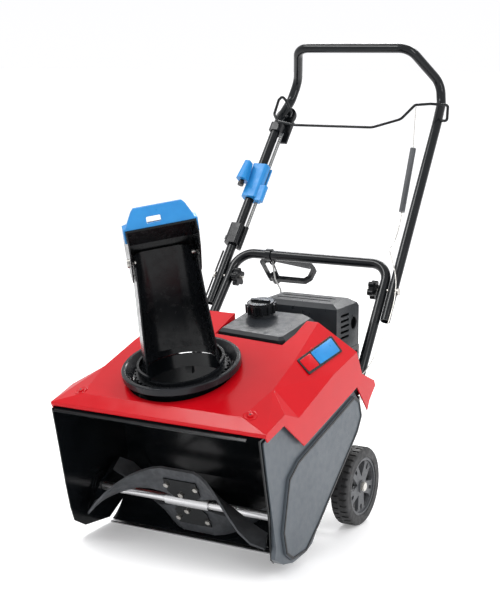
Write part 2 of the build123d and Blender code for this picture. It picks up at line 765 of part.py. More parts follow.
ENGINE_X = (-30.0, 160.0)
with BuildPart() as engine_block:
    with BuildSketch(side_plane(ENGINE_X[0])):
        with BuildLine():
            Polyline((345, 196), (485, 196), (485, 330), (470, 345), (360, 345), (345, 330), close=True)
        make_face()
    extrude(amount=ENGINE_X[1] - ENGINE_X[0])
    with BuildSketch(side_plane(20)):
        with Locations((415, 366)):
            Rectangle(96, 42)
    extrude(amount=110)
    for i in range(5):
        with BuildSketch(side_plane(14)):
            with Locations((415, 352 + 8 * i)):
                Rectangle(112, 3)
        extrude(amount=122)
    with BuildSketch(side_plane(ENGINE_X[0] - 1)):
        with Locations((CRANK_Y, CRANK_Z)):
            Circle(CRANK_R + CLEAR)
    extrude(amount=400, mode=Mode.SUBTRACT)
engine_block.part.label = "engine_block"
export_step(engine_block.part, "parts/engine_block.step")

with BuildPart() as crankshaft:
    with BuildSketch(side_plane(-52)):
        with Locations((CRANK_Y, CRANK_Z)):
            Circle(CRANK_R)
    extrude(amount=52 + 248)
crankshaft.part.label = "crankshaft"
export_step(crankshaft.part, "parts/crankshaft.step")


def sheave(y, z, rim, bore):
    groove = BELT_W / 2 + 0.2
    with BuildPart() as wheel:
        for x, r, width in ((BELT_X - groove - 2.4, rim, 2.4), (BELT_X - groove, rim - BELT_T - 1, 2 * groove),
                            (BELT_X + groove, rim, 2.4)):
            with BuildSketch(side_plane(x)):
                with Locations((y, z)):
                    Circle(r)
                    Circle(bore, mode=Mode.SUBTRACT)
            extrude(amount=width)
    return wheel.part


rotor_sheave = sheave(ROTOR_Y, ROTOR_Z, BIG_SHEAVE_R, SHAFT_R)
rotor_sheave.label = "rotor_sheave"
export_step(rotor_sheave, "parts/rotor_sheave.step")
crank_sheave = sheave(CRANK_Y, CRANK_Z, SMALL_SHEAVE_R, CRANK_R)
crank_sheave.label = "crank_sheave"
export_step(crank_sheave, "parts/crank_sheave.step")

with BuildPart() as drive_belt:
    for extra, mode in ((-0.9, Mode.ADD), (-BELT_T - 0.9, Mode.SUBTRACT)):
        with BuildSketch(side_plane(BELT_X - BELT_W / 2)):
            with Locations((ROTOR_Y, ROTOR_Z)):
                Circle(BIG_SHEAVE_R + extra)
            with Locations((CRANK_Y, CRANK_Z)):
                Circle(SMALL_SHEAVE_R + extra)
            make_hull()
        extrude(amount=BELT_W, mode=mode)
drive_belt.part.label = "drive_belt"
export_step(drive_belt.part, "parts/drive_belt.step")

# The idler presses on the outside of the belt's front run.
IDLER_R = 15.0
IDLER_AT = (262.0, 262.0)
IDLER_LEN = hypot(IDLER_PIVOT[0] - IDLER_AT[0], IDLER_PIVOT[1] - IDLER_AT[1])
IDLER_TURN = degrees(atan2(IDLER_PIVOT[1] - IDLER_AT[1], IDLER_PIVOT[0] - IDLER_AT[0]))

with BuildPart() as idler_pulley:
    with BuildSketch(side_plane(BELT_X - 6)):
        with Locations(IDLER_AT):
            Circle(IDLER_R)
            Circle(4 + CLEAR, mode=Mode.SUBTRACT)
    extrude(amount=12)
idler_pulley.part.label = "idler_pulley"
export_step(idler_pulley.part, "parts/idler_pulley.step")

with BuildPart() as idler_arm:
    with BuildSketch(side_plane(BELT_X - 9.5)):
        with Locations(Location(((IDLER_PIVOT[0] + IDLER_AT[0]) / 2, (IDLER_PIVOT[1] + IDLER_AT[1]) / 2, 0),
                                (0, 0, IDLER_TURN))):
            SlotCenterToCenter(IDLER_LEN, 18)
        with Locations(IDLER_PIVOT):
            Circle(4 + CLEAR, mode=Mode.SUBTRACT)
    extrude(amount=3)
    with BuildSketch(side_plane(BELT_X - 9.5)):
        with Locations(IDLER_AT):
            Circle(4)
    extrude(amount=17)
idler_arm.part.label = "idler_arm"
export_step(idler_arm.part, "parts/idler_arm.step")

# ---- recoil starter ----------------------------------------------------------------------
POST_R = 8.0
with BuildPart() as recoil_housing:
    with BuildSketch(side_plane(-92)):
        with Locations((CRANK_Y, CRANK_Z)):
            Circle(76)
    extrude(amount=38)
    with BuildSketch(side_plane(-89)):
        with Locations((CRANK_Y, CRANK_Z)):
            Circle(73)
    extrude(amount=36, mode=Mode.SUBTRACT)
    with BuildSketch(side_plane(-100)):
        with Locations((CRANK_Y, CRANK_Z)):
            with PolarLocations(50, 10):
                SlotOverall(30, 8)
    extrude(amount=20, mode=Mode.SUBTRACT)
    with BuildSketch(side_plane(-90)):
        with Locations((CRANK_Y, CRANK_Z)):
            Circle(POST_R)
    extrude(amount=24)
recoil_housing.part.label = "recoil_housing"
export_step(recoil_housing.part, "parts/recoil_housing.step")

with BuildPart() as recoil_pulley:
    with BuildSketch(side_plane(-84)):
        with Locations((CRANK_Y, CRANK_Z)):
            Circle(58)
            Circle(POST_R + CLEAR, mode=Mode.SUBTRACT)
    extrude(amount=16)
    with BuildSketch(side_plane(-80)):
        with Locations((CRANK_Y, CRANK_Z)):
            Circle(70)
            Circle(50, mode=Mode.SUBTRACT)
    extrude(amount=8, mode=Mode.SUBTRACT)
recoil_pulley.part.label = "recoil_pulley"
export_step(recoil_pulley.part, "parts/recoil_pulley.step")

# The rope leaves the starter, turns at the engine cover's corner and runs up to the guide on the bar.
ROPE_R = 2.0
EYE = (-122.0, 741.0, 556.0)
ROPE_ROUTE = [(-76, 491.2, 300), (-76, 530, 320), (-40, 580, 345), (-8, 574, 392), (-8, 574, 518),
              (-60, 640, 531), EYE]
starter_rope = tube_along(ROPE_ROUTE, ROPE_R, 9)
starter_rope.label = "starter_rope"
export_step(starter_rope, "parts/starter_rope.step")
HUB_AT = (-114.0, 742.0, 516.0)
rope_tail = tube_along([EYE, (-127.1, 749.3, 558.1), (-116, 753, 528)], ROPE_R, 3)
rope_tail.label = "rope_tail"
export_step(rope_tail, "parts/rope_tail.step")

grip_frame = Plane(origin=at(*HUB_AT), x_dir=(1, 0, 0), z_dir=(0, -0.69, 0.724))
with BuildPart() as starter_handle:
    with BuildSketch(grip_frame.offset(-6)) as grip_face:
        with BuildLine():
            Polyline((-62, 42), (-15, -9), (88, -9), (102, 5), (104, 36), (88, 50), (-20, 64), (-56, 58), close=True)
        make_face()
        fillet(grip_face.vertices(), 8)
        add(offset(grip_face.sketch_local, amount=-11, mode=Mode.PRIVATE), mode=Mode.SUBTRACT)
    extrude(amount=12)
    with BuildSketch(grip_frame.offset(-14)):
        Circle(11)
    extrude(amount=26)
    with BuildSketch(grip_frame.offset(13)):
        Circle(ROPE_R + 1.5)
    extrude(amount=-6, mode=Mode.SUBTRACT)
starter_handle.part.label = "starter_handle"
export_step(starter_handle.part, "parts/starter_handle.step")

# ---- chassis, axle and wheels ---------------------------------------------------------------
RAIL_X = 206.0
RAIL_OUTLINE = [(289, 140), (291, 300), (330, 318), (470, 330), (508, 312), (508, 276), (496, 120), (496, 78),
                (466, 78), (440, 120), (330, 128)]
DECK_Z = 180.0

with BuildPart() as chassis:
    for x in (-RAIL_X - 3, RAIL_X):
        with BuildSketch(side_plane(x)):
            with BuildLine():
                Polyline(*RAIL_OUTLINE, close=True)
            make_face()
            with Locations((AXLE_Y, AXLE_Z)):
                Circle(AXLE_R, mode=Mode.SUBTRACT)
            with Locations((497, 300)):
                Circle(4, mode=Mode.SUBTRACT)
            with Locations((CRANK_Y, CRANK_Z)):
                Circle(CRANK_R + 4, mode=Mode.SUBTRACT)
        extrude(amount=3)
    with BuildSketch(side_plane(-RAIL_X)):
        with BuildLine():
            Polyline((290, 150), (290, DECK_Z), (500, DECK_Z), (500, 150), (497, 150), (497, DECK_Z - 3),
                     (293, DECK_Z - 3), (293, 150), close=True)
        make_face()
    extrude(amount=2 * RAIL_X)
    with BuildSketch(Plane.XY.offset(DECK_Z)):
        with Locations(*[(x, LIP_Y + y) for x in (-4, 134) for y in (360, 470)]):
            Rectangle(32, 22)
    extrude(amount=16)
chassis.part.label = "chassis"
export_step(chassis.part, "parts/chassis.step")

with BuildPart() as axle:
    with BuildSketch(side_plane(-WHEEL_OUT - 1)):
        with Locations((AXLE_Y, AXLE_Z)):
            Circle(AXLE_R)
    extrude(amount=2 * WHEEL_OUT + 2)
axle.part.label = "axle"
export_step(axle.part, "parts/axle.step")

SPOKES = 5
SPOKE_POCKET = [(-20, 0), (-6, -9), (8, -17), (15, -15), (17, 0), (15, 15), (8, 17), (-6, 9)]


def wheel_parts(sign):
    """Tyre, rim and push nut of the wheel on one side. Local x runs outward from the machine."""
    inner = WHEEL_OUT - WHEEL_W
    start = inner if sign > 0 else -WHEEL_OUT
    outer_face = sign * WHEEL_OUT
    with BuildPart() as tyre:
        with BuildSketch(side_plane(start)):
            with Locations((AXLE_Y, AXLE_Z)):
                Circle(TYRE_R)
                Circle(RIM_R, mode=Mode.SUBTRACT)
        extrude(amount=WHEEL_W)
        fillet(tyre.edges().filter_by(GeomType.CIRCLE).sort_by(SortBy.RADIUS)[-2:], 8)
        with BuildSketch(side_plane(start)):
            with Locations((AXLE_Y, AXLE_Z)):
                with PolarLocations(TYRE_R, 36):
                    Rectangle(5, 5)
        extrude(amount=WHEEL_W / 2 - 3, mode=Mode.SUBTRACT)
        with BuildSketch(side_plane(start + WHEEL_W / 2 + 3)):
            with Locations((AXLE_Y, AXLE_Z)):
                with PolarLocations(TYRE_R, 36, start_angle=5):
                    Rectangle(5, 5)
        extrude(amount=WHEEL_W / 2 - 3, mode=Mode.SUBTRACT)
    with BuildPart() as rim:
        with BuildSketch(side_plane(start + 2)):
            with Locations((AXLE_Y, AXLE_Z)):
                Circle(RIM_R)
                Circle(RIM_R - 6, mode=Mode.SUBTRACT)
        extrude(amount=WHEEL_W - 4)
        web = WHEEL_OUT - 14 if sign > 0 else -WHEEL_OUT + 6
        with BuildSketch(side_plane(web)):
            with Locations((AXLE_Y, AXLE_Z)):
                Circle(RIM_R - 5)
                with PolarLocations(43, SPOKES, start_angle=18):
                    Polygon(*SPOKE_POCKET, align=None, mode=Mode.SUBTRACT)
                with PolarLocations(50, SPOKES, start_angle=54):
                    RectangleRounded(15, 9, 4, mode=Mode.SUBTRACT)
                Circle(AXLE_R + CLEAR, mode=Mode.SUBTRACT)
        extrude(amount=8)
        with BuildSketch(side_plane(start + 1 if sign > 0 else start + 3)):
            with Locations((AXLE_Y, AXLE_Z)):
                Circle(15)
                Circle(AXLE_R + CLEAR, mode=Mode.SUBTRACT)
        extrude(amount=WHEEL_W - 4)
    with BuildPart() as nut:
        with BuildSketch(side_plane(outer_face - sign * 2.9)):
            with Locations((AXLE_Y, AXLE_Z)):
                Circle(11)
                Circle(AXLE_R, mode=Mode.SUBTRACT)
        extrude(amount=sign * 3)
        with BuildSketch(side_plane(outer_face + sign * 0.1)):
            with Locations((AXLE_Y, AXLE_Z)):
                Circle(11)
                Circle(AXLE_R, mode=Mode.SUBTRACT)
        extrude(amount=sign * 0.9)
        with BuildSketch(side_plane(outer_face + sign * 1.0)):
            with Locations((AXLE_Y, AXLE_Z)):
                Circle(10)
        extrude(amount=sign * 3)
    return tyre.part, rim.part, nut.part


left_tyre, left_rim, left_nut = wheel_parts(-1)
right_tyre, right_rim, right_nut = wheel_parts(1)
left_tyre.label = "left_tyre"
export_step(left_tyre, "parts/left_tyre.step")
left_rim.label = "left_rim"
export_step(left_rim, "parts/left_rim.step")
right_tyre.label = "right_tyre"
export_step(right_tyre, "parts/right_tyre.step")
right_rim.label = "right_rim"
export_step(right_rim, "parts/right_rim.step")
axle_caps = Compound(label="axle_caps", children=[left_nut, right_nut])
export_step(axle_caps, "parts/axle_caps.step")

# ---- lower handle -----------------------------------------------------------------------------
low_points = [mirrored(LOW_END), mirrored(LOW_TOP), LOW_TOP, LOW_END]


def cross_hole(points, radius):
    """Round bars along X, used to drill the tubes."""
    return [Pos(0, LIP_Y + y, z) * Rot(0, 90, 0) * Cylinder(radius, 700) for y, z in points]


JOINT_HOLES = cross_hole([(JOINT_Y, JOINT_Z)], JOINT_BOLT_R + CLEAR)
LEG_HOLES = cross_hole([(497, 300)], 4)
lower_handle = tube_along(low_points, TUBE_R, 50, TUBE_IN) - JOINT_HOLES - LEG_HOLES
lower_handle.label = "lower_handle"
export_step(lower_handle, "parts/lower_handle.step")

# ---- upper handle -----------------------------------------------------------------------------
right_side = [UP_END, UP_TOP, UP_KNEE, UP_BEND, UP_BAR]
up_points = [mirrored(p) for p in right_side] + right_side[::-1]
BAIL_Y = 978.5
BAIL_Z = 913.0
BAIL_R = 3.5
BAIL_HOLES = cross_hole([(BAIL_Y, BAIL_Z)], BAIL_R + CLEAR)
upper_handle = tube_along(up_points, TUBE_R, 42, TUBE_IN) - JOINT_HOLES - BAIL_HOLES
upper_handle.label = "upper_handle"
export_step(upper_handle, "parts/upper_handle.step")


def joint_bolt(sign):
    """Carriage bolt through both tubes, its head on the outside."""
    out = UP_END[0] + TUBE_R - 1.6
    head = Plane(origin=at(sign * out, JOINT_Y, JOINT_Z), z_dir=(sign, 0, 0))
    with BuildPart() as bolt:
        with BuildSketch(head):
            Circle(9)
        extrude(amount=3.5)
        with BuildSketch(head):
            Circle(JOINT_BOLT_R)
        extrude(amount=-(out - 174))
    return bolt.part


def leg_screw(sign):
    """Screw that holds the foot of a leg on the chassis rail, with its spacer between them."""
    base = Plane(origin=at(sign * (RAIL_X - 3), 497, 300), z_dir=(sign, 0, 0))
    with BuildPart() as screw:
        for start, depth, radius in ((0, 40, 4), (-3.5, 3.5, 8), (6, 6, 9), (37.5, 4, 8)):
            with BuildSketch(base.offset(start)):
                Circle(radius)
            extrude(amount=depth)
    return screw.part


handle_bolts = Compound(
    label="handle_bolts", children=[make(sign) for make in (joint_bolt, leg_screw) for sign in (1, -1)]
)
export_step(handle_bolts, "parts/handle_bolts.step")


def star_knob(sign):
    """Five-lobed nut on the inner end of the joint bolt."""
    seat = Plane(origin=at(sign * 200.5, JOINT_Y, JOINT_Z), z_dir=(-sign, 0, 0))
    with BuildPart() as knob:
        with BuildSketch(seat):
            Circle(13)
            Circle(JOINT_BOLT_R + CLEAR, mode=Mode.SUBTRACT)
        extrude(amount=6)
        with BuildSketch(seat.offset(5)) as lobes:
            Circle(17)
            with PolarLocations(17, 5):
                Circle(7)
            with PolarLocations(25, 5, start_angle=36):
                Circle(8, mode=Mode.SUBTRACT)
            Circle(JOINT_BOLT_R + CLEAR, mode=Mode.SUBTRACT)
        extrude(amount=13)
    return knob.part


left_knob = star_knob(-1)
left_knob.label = "left_knob"
export_step(left_knob, "parts/left_knob.step")
right_knob = star_knob(1)
right_knob.label = "right_knob"
export_step(right_knob, "parts/right_knob.step")
# ---- control bail and its cable -----------------------------------------------------------------
# It hooks into the left leg from inside, curls round in front of it, crosses to the right leg and
# enters that one from outside.
BAIL_POINTS = [
    (-228, BAIL_Y, BAIL_Z), (-200, BAIL_Y, BAIL_Z), (-187, 964, 926), (-204, 962, 958), (-213, 960, 967),
    (-222, 957, 958), (-232, 950, 920), (-214, 936, 902), (-157, 930, 894), (65, 930, 894), (144, 932, 917),
    (180, 936, 953), (215, 950, 956), (253, 975, 953), (250, BAIL_Y, BAIL_Z), (214, BAIL_Y, BAIL_Z),
]
BAIL_BENDS = [7, 7, 5, 5, 5, 8, 10, 30, 60, 30, 8, 20, 7, 7]
control_bail = tube_along(BAIL_POINTS, BAIL_R, BAIL_BENDS)
control_bail.label = "control_bail"
export_step(control_bail, "parts/control_bail.step")

# The sheath hangs beside the right leg; the wire runs from the bail through it to the idler arm.
SHEATH_TOP = (180, 930, 844)
SHEATH_END = (180, 865, 689)
sheath_dir = (at(*SHEATH_TOP) - at(*SHEATH_END)).normalized()
with BuildPart() as cable_sleeve:
    with BuildSketch(Plane(origin=at(*SHEATH_END), z_dir=sheath_dir)):
        Circle(7.5)
        Circle(2.5, mode=Mode.SUBTRACT)
    extrude(amount=(at(*SHEATH_TOP) - at(*SHEATH_END)).length)
cable_sleeve.part.label = "cable_sleeve"
export_step(cable_sleeve.part, "parts/cable_sleeve.step")


def cord_along(points, radius):
    """A cable through the points, each corner's arc as large as the runs beside it allow."""
    spots = [at(*p) for p in points]
    radii = []
    for before, here, after in zip(spots, spots[1:], spots[2:]):
        turn = (here - before).get_angle(after - here)
        shorter = min((here - before).length, (after - here).length)
        radii.append(0.45 * shorter / tan(radians(turn / 2)))
    path = FilletPolyline(*spots, radius=radii)
    with BuildPart() as cord:
        with BuildSketch(Plane(origin=path @ 0, z_dir=path % 0)):
            Circle(radius)
        sweep(path=path)
    print(f"cord of radius {radius}: length {path.length:.0f}, smallest bend {min(radii):.0f}")
    return cord.part


BAIL_WIRE_R = 1.2
bail_wire = tube_along([(182, 938, 948), (180, 933, 893), SHEATH_TOP], BAIL_WIRE_R, 60)
bail_wire.label = "bail_wire"
export_step(bail_wire, "parts/bail_wire.step")

CABLE_R = 2.5
BAIL_ROUTE = [
    SHEATH_END, (184, 836, 640), (192, 782, 616), (206, 731, 614), (226, 703, 590), (246, 685, 556),
    (259, 652, 512), (259, 618, 462), (254, 592, 420), (248, 562, 384), (243, 525, 356), (240, 484, 346),
    (240, 450, 320),
]
bail_cable = cord_along(BAIL_ROUTE, CABLE_R)
bail_cable.label = "bail_cable"
export_step(bail_cable, "parts/bail_cable.step")

# ---- chute control on the left leg --------------------------------------------------------------
# Frame on the left upper leg: local x runs up the leg, local z points behind it.
leg_dir = (at(*mirrored(UP_TOP)) - at(*mirrored(UP_END))).normalized()
leg_back = leg_dir.cross(Vector(1, 0, 0)).normalized()
leg_frame = Plane(origin=at(*mirrored(UP_TOP)), x_dir=leg_dir, z_dir=leg_back)
PULLEY_AT = 26.0        # along the leg from the bend at its top
PULLEY_GAP = 24.0       # behind the leg's centre line
PULLEY_R = 30.0
BLOCK_LOW = (-392.0, -334.0)
BLOCK_TOP = (-40.0, -16.0)
SLIDER = (-252.0, -152.0)
GRIP = (-216.0, -160.0)
GRIP_SPOT = (-20, -35)
STRIP_SPOT = (18, 4)
ROD_SPOT = (23.5, 4)


def across_leg(s):
    return Plane(origin=leg_frame.origin + leg_dir * s, x_dir=leg_frame.y_dir, z_dir=leg_dir)


with BuildPart() as control_brackets:
    with BuildSketch(leg_frame.offset(PULLEY_GAP - 3)):
        with Locations((PULLEY_AT, 0)):
            Circle(PULLEY_R)
        with Locations((-24, 18)):
            Rectangle(68, 26)
    extrude(amount=6)
    with BuildSketch(across_leg(BLOCK_TOP[0])):
        with Locations((2, 4.5)):
            RectangleRounded(34, 39, 7)
        Circle(TUBE_R, mode=Mode.SUBTRACT)
    extrude(amount=BLOCK_TOP[1] - BLOCK_TOP[0])
    with BuildSketch(across_leg(BLOCK_LOW[0])):
        RectangleRounded(36, 38, 7)
        Circle(TUBE_R, mode=Mode.SUBTRACT)
    extrude(amount=BLOCK_LOW[1] - BLOCK_LOW[0])
    with BuildSketch(across_leg(BLOCK_LOW[0] + 14)):
        with Locations((-22, 0)):
            Rectangle(10, 9)
    extrude(amount=12)
    with BuildSketch(across_leg(BLOCK_LOW[0] - 8)):
        with Locations((21, 4)):
            Circle(5.5)
    extrude(amount=BLOCK_LOW[1] - BLOCK_LOW[0] + 8)
control_brackets.part.label = "control_brackets"
export_step(control_brackets.part, "parts/control_brackets.step")

with BuildPart() as control_strip:
    with BuildSketch(across_leg(BLOCK_LOW[1])):
        with Locations(STRIP_SPOT):
            Rectangle(2.5, 6)
        with Locations(ROD_SPOT):
            Circle(1.5)
    extrude(amount=BLOCK_TOP[0] - BLOCK_LOW[1])
control_strip.part.label = "control_strip"
export_step(control_strip.part, "parts/control_strip.step")

with BuildPart() as chute_slider:
    with BuildSketch(across_leg(SLIDER[0])):
        with Locations((4, 0)):
            RectangleRounded(46, 40, 9)
        Circle(TUBE_R + CLEAR, mode=Mode.SUBTRACT)
        with Locations((24, 4)):
            Rectangle(20, 9, mode=Mode.SUBTRACT)
    extrude(amount=SLIDER[1] - SLIDER[0])
    with BuildSketch(across_leg(SLIDER[0] - 8)):
        with Locations((33, -8)):
            RectangleRounded(22, 15, 4)
    extrude(amount=46)
    with BuildSketch(across_leg(GRIP[0])):
        with Locations(GRIP_SPOT):
            RectangleRounded(28, 34, 10)
        Circle(TUBE_R + 5, mode=Mode.SUBTRACT)
    extrude(amount=GRIP[1] - GRIP[0], taper=6)
    for i in range(7):
        with BuildSketch(across_leg(GRIP[0] + 6 + 6.5 * i)):
            with Locations((GRIP_SPOT[0] - 14, GRIP_SPOT[1] - 2)):
                Rectangle(4, 26)
        extrude(amount=2.6, mode=Mode.SUBTRACT)
    with BuildSketch(across_leg(GRIP[0])):
        with Locations(GRIP_SPOT):
            Circle(5 + CLEAR)
    extrude(amount=19, mode=Mode.SUBTRACT)
chute_slider.part.label = "chute_slider"
export_step(chute_slider.part, "parts/chute_slider.step")

with BuildPart() as slider_trigger:
    with BuildSketch(across_leg(GRIP[0] - 15)):
        with Locations(GRIP_SPOT):
            Circle(8)
    extrude(amount=10)
    with BuildSketch(across_leg(GRIP[0] - 15)):
        with Locations(GRIP_SPOT):
            Circle(5)
    extrude(amount=26)
slider_trigger.part.label = "slider_trigger"
export_step(slider_trigger.part, "parts/slider_trigger.step")

cable_start = across_leg(BLOCK_LOW[0] + 14).from_local_coords((-22, 0, 0))
CHUTE_ROUTE = [
    *[(p.X, p.Y - LIP_Y, p.Z) for p in (cable_start, cable_start - leg_dir * 30)],
    (-260, 703, 548), (-260, 667, 504), (-260, 632, 462), (-256, 598, 428), (-245, 566, 404), (-228, 532, 390),
    (-204, 494, 380), (-176, 452, 376), (-148, 408, 376), (-116, 366, 380), (CABLE_X - 12, 328, 384),
    (CABLE_X, 302, 385), (CABLE_X, 276, 385),
]
chute_cable = cord_along(CHUTE_ROUTE, CABLE_R)
chute_cable.label = "chute_cable"
export_step(chute_cable, "parts/chute_cable.step")

# ---- rope guide on the lower handle's bar ---------------------------------------------------------
with BuildPart() as rope_guide:
    with BuildSketch(side_plane(EYE[0] - 7)):
        with Locations((LOW_TOP[1], LOW_TOP[2])):
            Circle(TUBE_R + 3.5)
            Circle(TUBE_R, mode=Mode.SUBTRACT)
    extrude(amount=14)
    with BuildSketch(Plane.XZ.offset(-LIP_Y - EYE[1] - 2)):
        with Locations((EYE[0], EYE[2])):
            Circle(8)
        with Locations((EYE[0], EYE[2] + 9)):
            Rectangle(8, 10)
        with Locations((EYE[0], EYE[2])):
            Circle(ROPE_R + 3.2, mode=Mode.SUBTRACT)
    extrude(amount=4)
    with BuildSketch(side_plane(EYE[0] - 4)):
        Polygon((739, 566), (743, 566), (739.8, 575), (737, 581), (737, 570), align=None)
    extrude(amount=8)
rope_guide.part.label = "rope_guide"
export_step(rope_guide.part, "parts/rope_guide.step")

# ---- plain plate in the shroud's right flank ------------------------------------------------------
ridge_dir = (at(*RIDGE_C) - at(*RIDGE_B)).normalized()
flank_out = ridge_dir.cross(at(*FLANK_B) - at(*RIDGE_B)).normalized() * -1
badge_frame = Plane(origin=at(*RIDGE_B), x_dir=ridge_dir, z_dir=flank_out)
BADGE = [(4, -3), (-9, -43), (130, -80), (152, -40)]
with BuildPart() as badge_plate:
    with BuildSketch(badge_frame.offset(0.2)) as badge_face:
        with BuildLine():
            Polyline(*BADGE, close=True)
        make_face()
        fillet(badge_face.vertices(), 4)
    extrude(amount=2)
badge_plate.part.label = "badge_plate"
export_step(badge_plate.part, "parts/badge_plate.step")

# ---- choke on the engine cover's back -------------------------------------------------------------
with BuildPart() as choke_knob:
    with BuildSketch(back_plane.offset(1)):
        with Locations((0, CHOKE_Z)):
            Circle(15)
    extrude(amount=5)
    with BuildSketch(back_plane.offset(6)):
        with Locations((0, CHOKE_Z)):
            SlotOverall(28, 8, rotation=90)
    extrude(amount=9)
    with BuildSketch(back_plane.offset(-8)):
        with Locations((0, CHOKE_Z)):
            Circle(4)
    extrude(amount=9)
choke_knob.part.label = "choke_knob"
export_step(choke_knob.part, "parts/choke_knob.step")
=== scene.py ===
import bpy
from math import cos, pi, sin
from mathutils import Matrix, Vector
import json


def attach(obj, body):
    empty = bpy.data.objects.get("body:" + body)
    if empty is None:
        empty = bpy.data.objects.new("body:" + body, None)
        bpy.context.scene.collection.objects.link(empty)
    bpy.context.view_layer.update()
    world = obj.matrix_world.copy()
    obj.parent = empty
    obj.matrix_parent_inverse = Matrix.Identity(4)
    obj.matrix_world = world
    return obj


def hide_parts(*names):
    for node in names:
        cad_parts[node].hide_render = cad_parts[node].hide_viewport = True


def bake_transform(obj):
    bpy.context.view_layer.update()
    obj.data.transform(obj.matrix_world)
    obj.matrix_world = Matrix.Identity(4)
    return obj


# A single stage snowblower. Lengths are metres in the row frame: x across, y back, z up.
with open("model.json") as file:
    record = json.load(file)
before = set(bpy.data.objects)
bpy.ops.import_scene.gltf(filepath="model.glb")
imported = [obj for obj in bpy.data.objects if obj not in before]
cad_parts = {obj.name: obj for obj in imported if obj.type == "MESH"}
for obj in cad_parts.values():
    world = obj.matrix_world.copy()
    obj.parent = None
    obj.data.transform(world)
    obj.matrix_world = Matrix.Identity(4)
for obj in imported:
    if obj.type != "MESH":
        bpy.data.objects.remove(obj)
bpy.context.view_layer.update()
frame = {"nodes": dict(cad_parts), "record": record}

LIP_Y = -0.49737        # the front edge of the shroud's lip


def place(back, up, x=0.0):
    """A point given behind the shroud's lip and above the ground, in the row frame."""
    return Vector((x, LIP_Y + back, up))


# ---- studio --------------------------------------------------------------------------
CAMERA_AT = Vector((1.5272, -2.7891, 1.0898))
CAMERA_LOOK = Vector((-0.4843, 0.8561, -0.1805))
CAMERA_LENS = 81.78
SENSOR_WIDTH = 36
SKY = ((0.0, 1.0), (0.9, 0.30), (0.16, 0.95))     # grey against the sine of the height above the horizon
SKY_BLUE = 1.02                                   # blue against grey
LAMPS = {                                         # place, target, width and height, power
    "key": ((-1.2, -0.9, 3.0), (0, 0, 0.4), (1.8, 0.7), 46),
    "side": ((2.4, -0.6, 1.7), (0, 0, 0.4), (0.4, 1.8), 26),
    "back": ((-0.6, 2.6, 2.4), (0, 0, 0.5), (2.2, 0.6), 52),
}
FLOOR_SIDE = 120.0
FLOOR_DROP = 0.0005
FLOOR_COLOUR = (0.90, 0.90, 0.905)
FLOOR_ROUGHNESS = 0.6
FLOOR_GLOW = 0.22


def camera():
    data = bpy.data.cameras.new("camera")
    data.lens = CAMERA_LENS
    data.sensor_width = SENSOR_WIDTH
    eye = bpy.data.objects.new("camera", data)
    eye.location = CAMERA_AT
    eye.rotation_euler = CAMERA_LOOK.to_track_quat("-Z", "Y").to_euler()
    bpy.context.scene.collection.objects.link(eye)
    bpy.context.scene.camera = eye


def softbox(name, spot, target, size, power):
    data = bpy.data.lights.new(name, "AREA")
    data.shape = "RECTANGLE"
    data.size, data.size_y = size
    data.energy = power
    lamp = bpy.data.objects.new(name, data)
    lamp.location = spot
    lamp.rotation_euler = (Vector(target) - Vector(spot)).to_track_quat("-Z", "Y").to_euler()
    bpy.context.scene.collection.objects.link(lamp)


def studio():
    world = bpy.data.worlds.new("studio")
    world.use_nodes = True
    nodes, links = world.node_tree.nodes, world.node_tree.links
    direction = nodes.new("ShaderNodeTexCoord")
    height = nodes.new("ShaderNodeSeparateXYZ")
    sky = nodes.new("ShaderNodeValToRGB")
    for stop, (position, grey) in zip((*sky.color_ramp.elements, sky.color_ramp.elements.new(0.5)), SKY):
        stop.position = position
        stop.color = (grey, grey, grey * SKY_BLUE, 1)
    links.new(direction.outputs["Generated"], height.inputs["Vector"])
    links.new(height.outputs["Z"], sky.inputs["Fac"])
    links.new(sky.outputs["Color"], nodes["Background"].inputs["Color"])
    bpy.context.scene.world = world
    for name, lamp in LAMPS.items():
        softbox(name, *lamp)
    bpy.context.scene.view_settings.view_transform = "Standard"


def floor():
    """A wide white floor that glows a little, so that it meets the sky without a line."""
    half = FLOOR_SIDE / 2
    corners = [(-half, -half, 0), (half, -half, 0), (half, half, 0), (-half, half, 0)]
    mesh = bpy.data.meshes.new("floor")
    mesh.from_pydata(corners, [], [(0, 1, 2, 3)])
    ground = bpy.data.objects.new("floor", mesh)
    ground.location.z = -FLOOR_DROP
    bpy.context.scene.collection.objects.link(ground)
    paper = Surface("floor", FLOOR_COLOUR, FLOOR_ROUGHNESS).grain(40, 0.02)
    paper.shader.inputs["Emission Color"].default_value = (1, 1, 1, 1)
    paper.shader.inputs["Emission Strength"].default_value = FLOOR_GLOW
    mesh.materials.append(paper.material)


# ---- materials -----------------------------------------------------------------------
BEAD_X = 0.2616         # what lies further out on the belt cover is its black bead
BEAD_BLEND = 0.0004     # the width of the change from grey to black
DUST_DARKEN = 0.9       # dust on plastic: its own colour, darker and then lifted
DUST_LIFT = 0.012
COAT_ROUGHNESS = 0.08


